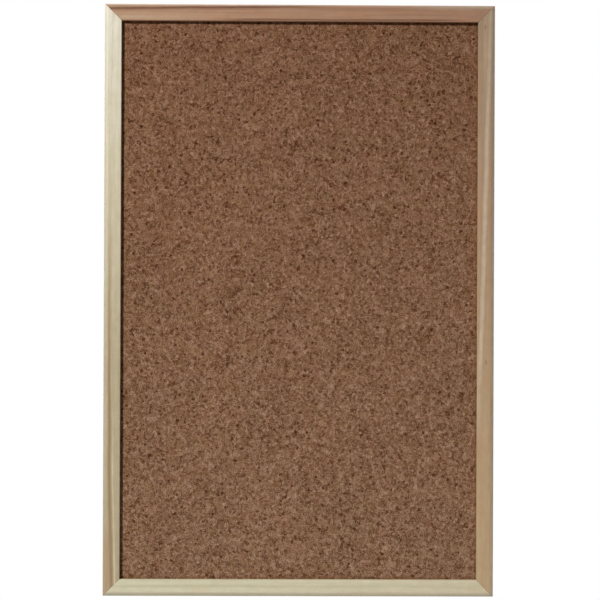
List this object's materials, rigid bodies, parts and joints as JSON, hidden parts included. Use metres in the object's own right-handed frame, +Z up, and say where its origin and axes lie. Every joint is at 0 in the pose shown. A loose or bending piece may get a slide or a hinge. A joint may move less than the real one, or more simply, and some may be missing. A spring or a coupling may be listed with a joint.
{
  "type": "pin badge board",
  "caption": "Portrait cork pin board for badges: a granular cork face on a soft core in a mitred bare pine frame, with swinging D-ring hangers on the back.",
  "frame": {"origin": "middle of the top rail's rear face, which lies against the wall", "axes": "+Z up the wall, +Y into the wall, so the cork face looks along -Y and +X is on the viewer's right"},
  "size_m": [0.396, 0.0217, 0.6001],
  "materials": {
    "pine_top": "bare planed pine, reddish heartwood with dark latewood lines",
    "pine_bottom": "bare planed pine, pale cream sapwood",
    "pine_left": "bare planed pine, cream with a brown lengthwise streak",
    "pine_right": "bare planed pine, tan with a pale band and small knots",
    "cork": "pressed cork granules, matte",
    "softboard": "raw wood-fibre softboard",
    "kraft_paper": "brown kraft paper, matte",
    "nail_steel": "bare steel strip",
    "zinc_steel": "bright zinc plated steel"
  },
  "bodies": {
    "board": {"top_rail": "pine_top", "bottom_rail": "pine_bottom", "left_rail": "pine_left", "right_rail": "pine_right", "cork_sheet": "cork", "softboard_core": "softboard", "backing_paper": "kraft_paper", "v_nail_top_left_outer": "nail_steel", "v_nail_top_left_inner": "nail_steel", "v_nail_top_right_outer": "nail_steel", "v_nail_top_right_inner": "nail_steel", "v_nail_bottom_left_outer": "nail_steel", "v_nail_bottom_left_inner": "nail_steel", "v_nail_bottom_right_outer": "nail_steel", "v_nail_bottom_right_inner": "nail_steel", "left_hanger_strap": "zinc_steel", "right_hanger_strap": "zinc_steel", "left_hanger_screw": "zinc_steel", "right_hanger_screw": "zinc_steel"},
    "left_ring": {"left_d_ring": "zinc_steel"},
    "right_ring": {"right_d_ring": "zinc_steel"}
  },
  "joints": [
    {"name": "left_ring_swing", "type": "hinge", "parent": "board", "child": "left_ring", "pos_m": [-0.18925, 0.0023, -0.05125], "axis": [1, 0, 0], "range_deg": [0, 180]},
    {"name": "right_ring_swing", "type": "hinge", "parent": "board", "child": "right_ring", "pos_m": [0.18925, 0.0023, -0.05125], "axis": [1, 0, 0], "range_deg": [0, 180]}
  ]
}
